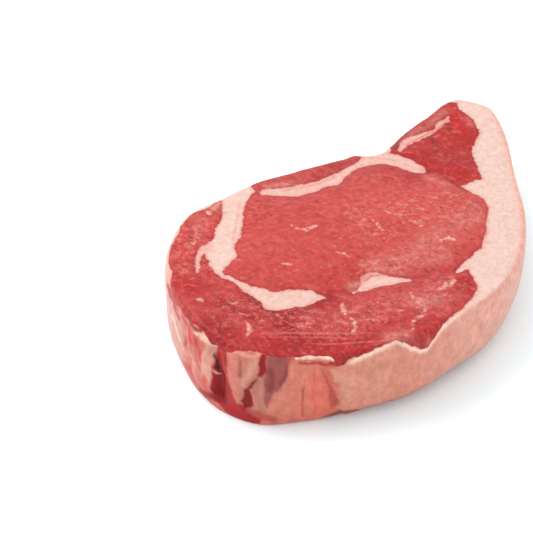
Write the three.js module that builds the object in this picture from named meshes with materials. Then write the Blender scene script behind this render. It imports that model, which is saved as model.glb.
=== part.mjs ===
// A thick raw beef striploin steak, lying flat on its lower cut face.
//
// Millimetres, +Z up. The origin is the middle of the face that the steak rests on, and X runs along
// its length, from the broad end at -X to the tail at +X. The steak is one piece of flesh, so it is
// one closed mesh: a sculpted upper cut face, a rounded and folded wall, and a flat lower cut face.
import * as THREE from "three";

// ---- Driving sizes ------------------------------------------------------------------------------

const LENGTH = 196; // the outline's unit of length: the tail ends a little beyond it
const WIDTH = 122; // across the widest place, square to the length
const THICKNESS = 33.2; // at mid length, at the fat
const TAPER = 4; // how much thicker the broad end is than the tail
const TOP_CORNER = 3.6; // superellipse power of the wall's upper half: higher is a sharper edge
const PILLOW_RISE = 1.3; // how far each muscle's cut face swells above the fat round it
const PILLOW_REACH = 7; // distance from the fat over which it swells
const SEAM_DIP = 0.5; // depth of the line where two muscles touch with no fat between
const SEAM_REACH = 2.2;
const WAVE_RISE = 0.45; // slow unevenness of the hand-cut upper face and of the wall
const WALL_WAVE_RATE = 2; // how much faster that goes down the wall than round it
const EDGE_FADE = 6; // how late the wall's relief dies out towards the two edges: higher is later

// ---- Mesh density -------------------------------------------------------------------------------

const GRID = 45; // vertices along each side of the upper face's grid
const WALL_STEPS = 13; // rows of facets from the upper edge to the lower one
const OUTLINE_STEPS = 40; // straight steps in each span of a curve that is being measured
const DENSE_FROM = 228; // the folded corner, in mm round the outline, gets finer facets
const DENSE_TO = 302;
const DENSE_GAIN = 1.2; // how much more closely the facets stand there
const DENSE_BLEND = 10; // the length of outline over which the spacing changes
const ROUND_OFF = 1e-9; // keeps a whole number of steps whole

// ---- Outline and layout, seen from above --------------------------------------------------------

// The widest outline, anticlockwise from the tail's tip: far side, broad end, near side, then the
// diagonal end. Each point is a share of the half length and of the half width.
const OUTLINE = [
  [1.026, 0.256], [0.995, 0.434], [0.933, 0.502], [0.765, 0.5], [0.582, 0.508], [0.403, 0.485],
  [0.311, 0.6], [0.23, 0.645], [0.04, 0.785], [-0.128, 0.912], [-0.291, 0.972], [-0.474, 1],
  [-0.622, 0.924], [-0.768, 0.767], [-0.888, 0.508], [-0.964, 0.23], [-0.98, -0.033],
  [-0.934, -0.279], [-0.813, -0.484], [-0.653, -0.689], [-0.474, -0.861], [-0.25, -0.951],
  [-0.01, -0.984], [0.224, -0.885], [0.459, -0.664], [0.673, -0.377], [0.878, -0.098],
  [1.005, 0.135],
];

// Bands of fat on the cut face: each knot is [x, y, half width].
const FAT_BANDS = {
  left_seam: [
    [-22.5, 56.5, 7.5], [-27, 53, 5.3], [-32, 49.2, 4.5], [-38.5, 44.2, 4.2], [-44.5, 40.6, 4.9],
    [-50, 37.7, 4.8], [-55.5, 36.2, 5.8], [-58, 33.2, 6], [-61.5, 30.7, 4.2], [-66, 27, 1.6],
    [-67.3, 23.5, 0.7],
  ],
  left_spur: [[-58.5, 40, 2.2], [-62.5, 39.3, 1.2], [-66.5, 37, 1], [-71.5, 32.7, 0.6]],
  front_wedge: [
    [-66.3, 22, 0.7], [-66, 17, 1.1], [-66.3, 11.5, 2.2], [-65.8, 6.5, 3.7], [-65, 1, 5.2],
    [-60.5, -3.2, 4.9], [-56, -6.3, 4.1], [-53, -9.7, 2], [-50, -14.2, 0.6],
  ],
  island: [[-41.3, -18.9, 0.3], [-37, -20.3, 2], [-31.5, -19.8, 4.4], [-28, -24, 3], [-21.5, -30.6, 0.4]],
  back_seam: [
    [-15, 46.8, 1.8], [-10.2, 41.4, 3.1], [-5.8, 37.1, 3.7], [-0.4, 34.3, 3.4], [5, 32.4, 2.6],
    [10, 30.4, 3.1], [14.5, 30.3, 2.1], [20, 30, 1.4], [25, 29.7, 2], [30, 29.5, 4.6],
    [35.8, 24.8, 4.4], [38, 20, 4], [38.6, 15, 4.2], [38.9, 9, 3.1],
  ],
  lobe_band: [
    [45.5, 22.8, 0.8], [50.5, 24.4, 1.7], [56.2, 24, 2], [60, 22.6, 1.9], [64, 21, 1.5],
    [68.5, 20.6, 0.9], [73.5, 21.3, 1.6], [77.5, 21, 1.3], [80, 21.8, 0.5],
  ],
  diagonal_rim: [
    [92, 32, 2.6], [97, 25, 6], [97, 17, 10], [92, 8, 9], [84, -2, 8.3], [76, -7, 10], [69, -9, 10.8],
    [64, -14.5, 9.8], [57, -21, 9],
  ],
  eye_end: [
    [41.5, -11.8, 0.5], [43.5, -15, 3], [46, -20, 6.5], [47, -27, 8.5], [41, -34, 8], [30, -41, 8],
    [20, -46, 8], [12, -46.5, 7.5], [3, -43.7, 3.6], [-1.5, -42.4, 1.9], [-6, -41.2, 0.5],
  ],
  near_rim: [[-14, -60, 2], [-5, -56, 5.2], [3, -49, 7.2], [12, -46, 8]],
};

// Lines where two muscles touch with no fat between them.
const MUSCLE_SEAMS = [
  [[-50, -14.2], [-41.3, -18.9]],
  [[-21.5, -30.6], [-6, -41.2]],
  [[40, 6.5], [42.2, -3], [41.5, -11.8]],
];

// ---- Wall layout --------------------------------------------------------------------------------

// Knots [mm round the outline, value], joined smoothly all the way round: the width of the upper
// rounding, the height of the widest section as a share of the thickness, how far the wall is
// undercut at its foot, and its lower half's superellipse power.
const TOP_ROLL = [[0, 5], [74, 4], [248, 4], [288, 3.5], [327, 2.4], [362, 2.8], [397, 4], [446, 5]];
const GIRTH_HEIGHT = [[0, 0.45], [74, 0.42], [298, 0.42], [332, 0.52], [372, 0.55], [436, 0.48]];
const FOOT_ROLL = [
  [0, 9], [74, 6], [174, 6], [215, 4.5], [238, 2.4], [248, 1.2], [263, 1.2], [283, 3.8], [298, 6.4],
  [307, 8.6], [320, 9], [331, 10.4], [346, 11.6], [358, 9.4], [371, 8.6], [402, 9], [446, 9.4],
];
const FOOT_CORNER = [
  [0, 2.4], [74, 2.6], [174, 2.8], [248, 3.4], [283, 3.4], [317, 2.4], [347, 2.1], [377, 2],
  [446, 2.3],
];

// The cut face sags where the near corner was trimmed.
const CORNER_SAG = { x: -73, y: -36, depth: 3.2, reach: 19 };

// Folds of the membrane at the near corner: each is a line on the wall, [mm round the outline,
// height], with how far the wall lifts along it, or sinks, and how far to each side that reaches.
const FOLDS = [
  { name: "flap", line: [[236, 24], [242, 22], [240, 12]], lift: 1.6, reach: 6 },
  { name: "flap_gap", line: [[246.5, 31], [249.5, 20], [248.5, 8]], lift: -2.6, reach: 2.2 },
  { name: "pale_wedge", line: [[259, 33], [259.3, 22], [258, 12]], lift: 0.9, reach: 4.5 },
  { name: "wedge_gap", line: [[267.5, 33], [264.5, 22], [260, 10]], lift: -1.4, reach: 2 },
  { name: "membrane_hollow", line: [[272.5, 30], [270, 15]], lift: -0.9, reach: 4.5 },
  { name: "left_pleat", line: [[228, 29], [231, 12]], lift: -1.1, reach: 3 },
];
// Where the near fat cap begins: its edge leans, stands up sharply and fades into the rest of the wall.
const FAT_STEP = { s: 288.5, z: 28, lean: 0.35, lift: 1.3, reach: 2, fades_after: 90 };

// The slow waves: each one's share of the height and how fast it turns, in radians per millimetre.
const WAVES = [
  { share: 0.45, x_rate: 0.077, y_rate: 0.02, phase: 0 },
  { share: 0.35, x_rate: 0.034, y_rate: 0.091, phase: 1.3 },
  { share: 0.2, x_rate: 0.133, y_rate: 0.133, phase: 0.4 },
];

// ---- Small maths --------------------------------------------------------------------------------

const smooth = (t) => THREE.MathUtils.smoothstep(t, 0, 1);

// The value at s, from 0 up to the period, through knots [s, value] that start at 0.
function around(knots, s, period) {
  const next = knots.findIndex(([at]) => at > s);
  const [lowAt, low] = knots[next === -1 ? knots.length - 1 : next - 1];
  const [highAt, high] = next === -1 ? [period, knots[0][1]] : knots[next];
  return low + (high - low) * smooth((s - lowAt) / (highAt - lowAt));
}

// The distance from a point to a chain of knots, less the band's half width there where the knots have one.
function distanceToChain(chain, x, y) {
  let best = Infinity;
  for (let i = 0; i + 1 < chain.length; i++) {
    const [ax, ay, aw = 0] = chain[i];
    const [bx, by, bw = 0] = chain[i + 1];
    const length2 = (bx - ax) ** 2 + (by - ay) ** 2;
    const t = THREE.MathUtils.clamp(((x - ax) * (bx - ax) + (y - ay) * (by - ay)) / length2, 0, 1);
    const away = Math.hypot(x - ax - t * (bx - ax), y - ay - t * (by - ay));
    best = Math.min(best, away - aw - t * (bw - aw));
  }
  return best;
}

// Slow waves of unit height over two coordinates in millimetres.
function waves(x, y) {
  let height = 0;
  for (const { share, x_rate, y_rate, phase } of WAVES) {
    height += share * Math.sin(x * x_rate + y * y_rate + phase);
  }
  return height;
}

// ---- The outline as a curve ---------------------------------------------------------------------

const outline = new THREE.CatmullRomCurve3(
  OUTLINE.map(([x, y]) => new THREE.Vector3((x * LENGTH) / 2, (y * WIDTH) / 2, 0)),
  true,
  "catmullrom",
);
outline.arcLengthDivisions = OUTLINE.length * OUTLINE_STEPS;
const PERIMETER = outline.getLength();

function girthPoint(share) {
  const point = outline.getPointAt(share);
  const along = outline.getTangentAt(share);
  return { x: point.x, y: point.y, nx: along.y, ny: -along.x };
}

// The outline's share at step k of the boundary, with the steps closer together at the folded corner.
function boundaryShares(count) {
  const inside = (distance) => smooth(distance / DENSE_BLEND + 0.5);
  const weight = (s) => 1 + DENSE_GAIN * inside(s - DENSE_FROM) * inside(DENSE_TO - s);
  const fine = OUTLINE.length * OUTLINE_STEPS;
  const sums = [0];
  for (let i = 0; i < fine; i++) sums.push(sums[i] + weight(((i + 0.5) * PERIMETER) / fine));
  const shares = [];
  for (let k = 0, i = 0; k < count; k++) {
    const wanted = (k / count) * sums[fine];
    while (sums[i + 1] <= wanted) i++;
    shares.push((i + (wanted - sums[i]) / (sums[i + 1] - sums[i])) / fine);
  }
  return shares;
}

// ---- Heights and relief -------------------------------------------------------------------------

function cutHeight(x, y) {
  const { depth, reach } = CORNER_SAG;
  const sag = depth * Math.exp(-((x - CORNER_SAG.x) ** 2 + (y - CORNER_SAG.y) ** 2) / reach ** 2);
  return THICKNESS - (TAPER * x) / LENGTH - sag;
}

// The muscles' swell and the furrows between them, on the upper cut face.
function muscleRelief(x, y) {
  const toFat = Math.min(...Object.values(FAT_BANDS).map((band) => distanceToChain(band, x, y)));
  const toSeam = Math.min(...MUSCLE_SEAMS.map((seam) => distanceToChain(seam, x, y)));
  const pillow = PILLOW_RISE * (1 - Math.exp(-Math.max(toFat, 0) / PILLOW_REACH));
  const furrow = SEAM_DIP * Math.exp(-((toSeam / SEAM_REACH) ** 2));
  return pillow - furrow + WAVE_RISE * waves(x, y);
}

// How far the wall stands out at s millimetres round the outline and height z.
function wallRelief(s, z) {
  const { lift: stepLift, reach: stepReach, fades_after: stepEnd } = FAT_STEP;
  const past = s - FAT_STEP.s - (FAT_STEP.z - z) * FAT_STEP.lean;
  let relief = stepLift * smooth(past / stepReach + 0.5) * smooth(1 - past / stepEnd);
  for (const { line, lift, reach } of FOLDS) {
    relief += lift * Math.exp(-((distanceToChain(line, s, z) / reach) ** 2));
  }
  return relief + WAVE_RISE * waves(s, WALL_WAVE_RATE * z);
}

// ---- Building the surface -----------------------------------------------------------------------

// The wall's point at a share of the outline and a profile angle, a quarter turn up to one down.
function wallPoint(share, angle) {
  const girth = girthPoint(share);
  const s = share * PERIMETER;
  const upper = angle >= 0;
  const roll = around(upper ? TOP_ROLL : FOOT_ROLL, s, PERIMETER);
  const power = 2 / (upper ? TOP_CORNER : around(FOOT_CORNER, s, PERIMETER));
  const rimRelief = upper ? muscleRelief(girth.x - girth.nx * roll, girth.y - girth.ny * roll) : 0;
  const top = cutHeight(girth.x, girth.y) + rimRelief;
  const middle = top * around(GIRTH_HEIGHT, s, PERIMETER);
  const rise = Math.abs(Math.sin(angle)) ** power;
  const z = upper ? middle + (top - middle) * rise : middle * (1 - rise);
  const inset = roll * (Math.max(Math.cos(angle), 0) ** power - 1);
  const fade = 1 - rise ** EDGE_FADE;
  const offset = inset + fade * wallRelief(s, z);
  return [girth.x + girth.nx * offset, girth.y + girth.ny * offset, z];
}

// Which ring of the square grid a vertex is on, as a share of the outermost, and how many boundary
// steps round it, anticlockwise from the corner (1, -1).
function ringStep(column, row, last) {
  const middle = last / 2;
  const a = column - middle;
  const b = row - middle;
  const reach = Math.max(Math.abs(a), Math.abs(b));
  if (reach === 0) return { reach: 0, step: 0 };
  const side = last / (2 * reach);
  if (a === reach && b > -reach) return { reach: reach / middle, step: (b + reach) * side };
  if (b === reach) return { reach: reach / middle, step: last + (reach - a) * side };
  if (a === -reach) return { reach: reach / middle, step: 2 * last + (reach - b) * side };
  return { reach: reach / middle, step: (3 * last + (a + reach) * side) % (4 * last) };
}

function steakGeometry() {
  const last = GRID - 1;
  const count = 4 * last;
  const shares = boundaryShares(count);
  const positions = [];
  const triangles = [];
  const add = (point) => positions.push(...point) / 3 - 1;
  const quad = (a, b, c, d) => triangles.push(a, b, c, a, c, d);

  // Rows of the wall, from the upper edge down to the lower one.
  const rows = [];
  for (let row = 0; row <= WALL_STEPS; row++) {
    const angle = (0.5 - row / WALL_STEPS) * Math.PI;
    rows.push(shares.map((share) => add(wallPoint(share, angle))));
  }
  for (let row = 0; row < WALL_STEPS; row++)
    for (let k = 0; k < count; k++) {
      const next = (k + 1) % count;
      quad(rows[row][k], rows[row + 1][k], rows[row + 1][next], rows[row][next]);
    }

  // The upper cut face: a square grid whose rings are the upper edge, drawn in towards the middle.
  const edge = rows[0].map((i) => positions.slice(3 * i, 3 * i + 3));
  const vertexAt = (column, row) => {
    const { reach, step } = ringStep(column, row, last);
    const whole = Math.floor(step + ROUND_OFF);
    if (reach === 1) return rows[0][whole % count];
    const [ax, ay] = edge[whole % count];
    const [bx, by] = edge[(whole + 1) % count];
    const x = reach * (ax + (bx - ax) * (step - whole));
    const y = reach * (ay + (by - ay) * (step - whole));
    return add([x, y, cutHeight(x, y) + muscleRelief(x, y)]);
  };
  const places = [...Array(GRID).keys()];
  const grid = places.map((row) => places.map((column) => vertexAt(column, row)));
  for (let row = 0; row < last; row++)
    for (let column = 0; column < last; column++)
      quad(grid[row][column], grid[row][column + 1], grid[row + 1][column + 1], grid[row + 1][column]);

  // The lower cut face is flat, a fan round its middle.
  const foot = rows[WALL_STEPS];
  const middle = add([0, 0, 0]);
  foot.forEach((corner, k) => triangles.push(middle, foot[(k + 1) % count], corner));

  const geometry = new THREE.BufferGeometry();
  geometry.setAttribute("position", new THREE.Float32BufferAttribute(positions, 3));
  geometry.setIndex(triangles);
  geometry.computeBoundingBox();
  const { min, max } = geometry.boundingBox;
  geometry.translate(-(min.x + max.x) / 2, -(min.y + max.y) / 2, -min.z);
  geometry.computeVertexNormals();
  return geometry;
}

const steak = new THREE.Mesh(
  steakGeometry(),
  new THREE.MeshStandardMaterial({ color: 0xd8605a, roughness: 0.45, metalness: 0 }),
);
steak.name = "steak";

const part = new THREE.Group();
part.add(steak);
export default part;
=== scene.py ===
import itertools
import math

import bpy
import numpy as np
from mathutils import Matrix, Vector


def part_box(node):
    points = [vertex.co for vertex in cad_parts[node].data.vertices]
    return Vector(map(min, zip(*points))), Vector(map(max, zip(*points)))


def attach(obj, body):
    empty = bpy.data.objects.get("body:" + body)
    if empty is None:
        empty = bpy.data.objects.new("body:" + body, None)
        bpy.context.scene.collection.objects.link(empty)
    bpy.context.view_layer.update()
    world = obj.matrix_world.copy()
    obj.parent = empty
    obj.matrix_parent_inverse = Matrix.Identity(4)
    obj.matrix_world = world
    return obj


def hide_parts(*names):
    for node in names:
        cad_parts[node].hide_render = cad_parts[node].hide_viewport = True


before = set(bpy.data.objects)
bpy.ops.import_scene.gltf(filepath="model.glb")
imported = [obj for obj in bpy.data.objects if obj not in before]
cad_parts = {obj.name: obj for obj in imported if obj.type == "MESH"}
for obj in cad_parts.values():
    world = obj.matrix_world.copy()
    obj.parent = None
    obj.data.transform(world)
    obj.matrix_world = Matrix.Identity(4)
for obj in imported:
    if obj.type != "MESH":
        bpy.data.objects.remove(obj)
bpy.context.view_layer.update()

# ---- Driving sizes, in millimetres ----

MM = 0.001
LENGTH = 196  # the outline's unit of length: the tail ends a little beyond it
WIDTH = 122  # across the widest place, square to the length
THICKNESS = 33.2  # at mid length, at the fat
TAPER = 4  # how much thicker the broad end is than the tail
TOP_CORNER = 3.6  # superellipse power of the wall's upper half: higher is a sharper edge
PILLOW_RISE = 1.3  # how far each muscle's cut face swells above the fat round it
PILLOW_REACH = 7  # distance from the fat over which it swells
SEAM_DIP = 0.5  # depth of the line where two muscles touch with no fat between
SEAM_REACH = 2.2  # how far to each side of that line
WAVE_RISE = 0.45  # slow unevenness of the hand-cut upper face and of the wall
WALL_WAVE_RATE = 2  # how much faster that goes down the wall than round it
EDGE_FADE = 6  # how late the wall's relief dies out towards the two edges: higher is later

# ---- Mesh density ----

GRID = 241  # vertices along each side of the cut faces' grids
WALL_ROWS = 62  # rows of vertices from the upper edge to the lower one
OUTLINE_SAMPLES = 4000  # straight steps in which the outline is measured
PROFILE_SAMPLES = 4000  # straight steps in which the wall's profile is measured
NOMINAL_ROLL = 5  # the usual width and height of half the wall, which spaces its rows evenly
NOMINAL_RISE = 18
ROUND_OFF = 1e-9  # keeps a whole number of steps whole

# ---- Outline and layout, seen from above ----

# The widest outline, anticlockwise from the tail's tip: far side, broad end, near side, then the
# diagonal end. Each point is a share of the half length and of the half width.
OUTLINE = [
    (1.026, 0.256), (0.995, 0.434), (0.933, 0.502), (0.765, 0.5), (0.582, 0.508), (0.403, 0.485),
    (0.311, 0.6), (0.23, 0.645), (0.04, 0.785), (-0.128, 0.912), (-0.291, 0.972), (-0.474, 1),
    (-0.622, 0.924), (-0.768, 0.767), (-0.888, 0.508), (-0.964, 0.23), (-0.98, -0.033),
    (-0.934, -0.279), (-0.813, -0.484), (-0.653, -0.689), (-0.474, -0.861), (-0.25, -0.951),
    (-0.01, -0.984), (0.224, -0.885), (0.459, -0.664), (0.673, -0.377), (0.878, -0.098),
    (1.005, 0.135),
]

# Bands of fat on the cut face: each knot is (x, y, half width).
FAT_BANDS = {
    "left_seam": [
        (-22.5, 56.5, 7.5), (-27, 53, 5.3), (-32, 49.2, 4.1), (-38.5, 44.2, 4.2), (-44.5, 40.6, 4.9),
        (-50, 37.7, 4.8), (-55.5, 36.2, 5.8), (-58, 33.2, 6), (-61.5, 30.7, 4.2), (-66, 27, 1.6),
        (-67.3, 23.5, 0.7),
    ],
    "left_spur": [(-58.5, 40, 2.2), (-62.5, 39.3, 1.2), (-66.5, 37, 1), (-71.5, 32.7, 0.6)],
    "front_wedge": [
        (-66.3, 22, 0.7), (-66, 17, 1.1), (-66.3, 11.5, 2), (-65.3, 6.1, 3.3), (-65, -0.1, 5.3),
        (-60.5, -3.4, 5), (-56, -7, 4.5), (-53.6, -9.2, 2.1), (-51, -12.8, 0.5),
    ],
    "island": [
        (-41.3, -18.9, 0.3), (-37, -20.3, 2), (-31.5, -19.8, 4.4), (-28, -24, 3), (-21.5, -30.6, 0.4),
    ],
    "back_seam": [
        (-15, 46.8, 1.8), (-10.2, 41.4, 3.1), (-5.8, 37.1, 3.7), (-0.4, 34.3, 3.4), (5, 32.4, 2.6),
        (10, 30.4, 3.1), (14.5, 30.3, 2.1), (20, 30, 1.4), (25, 29.5, 1.9), (30.5, 28.4, 3.6),
        (35.8, 24.8, 4.4), (38, 20, 4), (38.6, 15, 4.2), (38.9, 9, 3.1),
    ],
    "lobe_band": [
        (45.5, 22.8, 0.8), (50.5, 24.4, 1.7), (56.2, 24, 2), (60, 22.6, 1.9), (64, 21, 1.5),
        (68.5, 20.6, 0.9), (73.5, 21.3, 1.6), (77.5, 21, 1.3), (80, 21.8, 0.5),
    ],
    "diagonal_rim": [
        (92, 32, 2.6), (97, 25, 6), (97, 17, 10), (92.3, 7.7, 8.4), (84, -2, 8.3), (76, -7, 10),
        (69.3, -9.3, 9.8), (64.3, -14.8, 9.2), (57, -21, 9),
    ],
    "eye_end": [
        (41.5, -11.8, 0.5), (43.5, -15, 3), (46, -20, 6.5), (47, -27, 8.5), (41, -34, 8), (30, -41, 8),
        (20, -46, 8), (12, -47.2, 7), (3, -43.9, 3.6), (-1.5, -42.4, 1.9), (-6, -41.2, 0.5),
    ],
    "near_rim": [(-14, -60, 2), (-5, -56, 5.2), (3, -49, 7.2), (12, -47.4, 7.4)],
}

# Lines where two muscles touch with no fat between them.
MUSCLE_SEAMS = [
    [(-50, -14.2), (-41.3, -18.9)],
    [(-21.5, -30.6), (-6, -41.2)],
    [(40, 6.5), (42.2, -3), (41.5, -11.8)],
]

# The marbling that stands out from the rest: each knot is (x, y, half width).
VEINS = [
    [(-26.3, 24.7, 0.2), (-26.4, 20.5, 0.5), (-24.5, 17.3, 1), (-21, 16.4, 0.8), (-19.5, 15.6, 0.2)],
    [(5.1, 2, 0.3), (5.1, -1.5, 0.5), (6.2, -4.6, 0.5), (8, -6.7, 0.3)],
    [(-2.6, 1.9, 0.3), (-3.3, -1.2, 0.6), (-4.8, -3.4, 0.6), (-5.2, -5.9, 0.3)],
    [(5.7, -9.9, 0.3), (7.5, -11.5, 0.5), (7.3, -13.6, 0.3), (6.6, -15.5, 0.5)],
    [(4.5, -26.1, 0.4), (8.1, -27.4, 1), (8.7, -30.8, 0.4)],
    [(-27.9, -0.2, 0.3), (-26.8, -2.5, 0.6), (-27.2, -4.9, 0.3)],
    [(-47.7, 11.5, 0.4), (-45.5, 8.1, 0.5)],
    [(-28.8, -36, 0.4), (-31.7, -39.6, 0.6), (-31.6, -43.6, 0.8), (-33.6, -45.9, 0.6), (-36.9, -47.3, 0.8),
     (-40.2, -46.1, 0.5), (-43.2, -46.8, 0.3), (-46.5, -49.8, 0.4)],
    [(-54.6, -27.3, 0.5), (-55, -29.4, 0.8), (-57.5, -31.8, 0.8), (-60.1, -32.4, 0.3)],
    [(-52.4, -32, 0.3), (-49.3, -36.1, 0.4)],
    [(-50.7, -20.5, 0.6), (-53.8, -23.9, 1)],
    [(-81.4, -0.6, 0.3), (-84.1, -4.3, 1), (-86.8, -5.3, 0.5)],
    [(-19.5, -43, 1), (-15.3, -43.7, 1.8), (-12, -43.9, 0.7)],
    [(-77.4, 10.6, 0.5), (-76.3, 9.6, 0.6)],
    [(-83.9, 20.9, 0.8), (-83.2, 19.6, 0.8)],
    [(-40.9, 54.8, 0.8), (-41.2, 53.8, 0.9)],
    [(-59.9, 46.3, 0.3), (-59.5, 45.6, 1)],
    [(-54, 49.3, 0.3), (-56, 47, 0.5)],
]

# ---- Wall layout ----

# Knots (mm round the outline, value), joined smoothly all the way round: the width of the upper
# rounding, the height of the widest section as a share of the thickness, how far the wall is
# undercut at its foot, and its lower half's superellipse power.
TOP_ROLL = [(0, 5), (74, 4), (248, 4), (288, 3.5), (327, 2.4), (362, 2.8), (397, 4), (446, 5)]
GIRTH_HEIGHT = [(0, 0.45), (74, 0.42), (298, 0.42), (332, 0.52), (372, 0.55), (436, 0.48)]
FOOT_ROLL = [
    (0, 9), (74, 6), (174, 6), (215, 4.5), (238, 2.4), (248, 1.2), (263, 1.2), (283, 3.8), (298, 6.4),
    (307, 8.6), (320, 9), (331, 10.4), (346, 11.6), (358, 9.4), (371, 8.6), (402, 9), (446, 9.4),
]
FOOT_CORNER = [
    (0, 2.4), (74, 2.6), (174, 2.8), (248, 3.4), (283, 3.4), (317, 2.4), (347, 2.1), (377, 2),
    (446, 2.3),
]

# The cut face sags where the near corner was trimmed.
CORNER_SAG = {"x": -73, "y": -36, "depth": 3.2, "reach": 19}

# Folds of the membrane at the near corner: each is a line on the wall, (mm round the outline,
# height), then how far the wall lifts along it, or sinks, and how far to each side that reaches.
FOLDS = {
    "flap": ([(236, 24), (242, 22), (240, 12)], 1.6, 6),
    "flap_gap": ([(246.5, 31), (249.5, 20), (248.5, 8)], -2.6, 2.2),
    "pale_wedge": ([(259, 33), (259.3, 22), (258, 12)], 0.9, 4.5),
    "wedge_gap": ([(267.5, 33), (264.5, 22), (260, 10)], -1.4, 2),
    "membrane_hollow": ([(272.5, 30), (270, 15)], -0.9, 4.5),
    "left_pleat": ([(228, 29), (231, 12)], -1.1, 3),
    "fine_crease_1": ([(282, 28), (282.5, 4)], -0.35, 0.8),
    "fine_crease_2": ([(285.5, 26), (286, 6)], -0.3, 0.7),
    "fine_crease_3": ([(258.6, 31), (259.2, 22)], -0.4, 0.8),
    "fine_crease_4": ([(238, 29), (240.5, 18)], -0.5, 0.9),
    "fine_crease_5": ([(231.5, 31), (236, 26), (237, 18)], -0.5, 0.9),
}
# Where the near fat cap begins: its edge leans, stands up sharply and fades into the rest of the wall.
FAT_STEP = {"s": 288.5, "z": 28, "lean": 0.35, "lift": 1.3, "reach": 2, "fades_after": 90}

# How far over the upper edge the lean reaches before the wall's fat begins, (mm round the outline,
# mm down the rounding): below 0 the fat comes up onto the cut face.
LEAN_REACH = [
    (0, -2), (12, -1), (22, 4), (36, 10), (52, 13), (63, 9), (69, 0), (77, 0), (83, 4), (90, 11),
    (100, 22), (118, 25), (136, 17), (147, 3), (156, -0.5), (166, 1.6), (180, 1), (192, 2.4), (198, 2.4),
    (206, 1.8), (210, 6), (216, 7.5), (222, 6), (228, 6.6), (232, 6), (236, 4.8), (240, 4), (242.5, 5.6),
    (245.5, 8.8), (250, 8), (254, 5.8), (258, 3.7), (262, 2), (266, 1.8), (269.5, 2.9), (274, 3.2),
    (278, 2.3), (284, 2), (289, 2), (292, 2.6), (294, 7.4), (295.8, 7.2), (298.5, 5), (301.5, 4.4),
    (304.6, 3.6), (309, 2.7), (313, 1.6), (316, 1.1), (319, 3.2), (322, 6.2), (326, 9.4), (328.5, 9.6),
    (331, 7), (334, 4.4), (337, 2.6), (341, 1.6), (347, 0.8), (354, -0.9), (361, -3.2), (380, -4),
    (430, -3),
]
CAP_BELOW = [(0, 4), (60, 1.5), (150, 1), (230, 1.2), (300, 4), (370, 6), (430, 6)]  # fat rim seen below
LEDGE = 0.45  # how far the lean stands out over the fat at its edge on the wall
LEDGE_REACH = 1.4  # how far down the wall it takes to stand out

# The slow waves: each one's share of the height and how fast it turns, in radians per millimetre.
WAVES = [
    {"share": 0.45, "x_rate": 0.077, "y_rate": 0.02, "phase": 0},
    {"share": 0.35, "x_rate": 0.034, "y_rate": 0.091, "phase": 1.3},
    {"share": 0.2, "x_rate": 0.133, "y_rate": 0.133, "phase": 0.4},
]

# Fine relief: (wavelength, height on lean, height on fat).
GRAIN = [(7, 0.16, 0.1), (2.9, 0.12, 0.04)]
NOISE_TABLE = 256  # entries in the noise's table
NOISE_GAIN = 1.6  # brings the noise to about -1 to 1
SEED = 11

# ---- Tints, as screen colours from 0 to 255 ----

# The tints are those that the picture is to show. What the light and the shine add is taken off
# again before they go into the material: each face's brightness in white, and its shine.
LIT = {"top": 1.68, "wall": 1.25}
SHINE = 0.012
DARKEST = 0.001  # the least that a base colour may be
FAT_TINT = (246, 209, 196)
# Each muscle: the line along its middle, its own tint, and how much its brightness varies.
MUSCLES = {
    "eye": {"line": [(-48, 18), (-5, 12), (20, -20)], "tint": (212, 78, 72), "roughness": 1.2},
    "front": {"line": [(-80, 20), (-80, 2), (-60, -25), (-30, -45), (-12, -50)], "tint": (200, 68, 66),
              "roughness": 2.0},
    "left": {"line": [(-78, 35), (-62, 47), (-40, 54)], "tint": (210, 74, 70), "roughness": 2.8},
    "lobe": {"line": [(48, 17), (60, 7), (80, 17)], "tint": (191, 42, 41), "roughness": 1.6},
    "back": {"line": [(-9, 49), (15, 38), (27, 34)], "tint": (203, 79, 75), "roughness": 1.7},
}
MUSCLE_BLEND = 5  # distance over which one muscle's tint turns into the next one's
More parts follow.
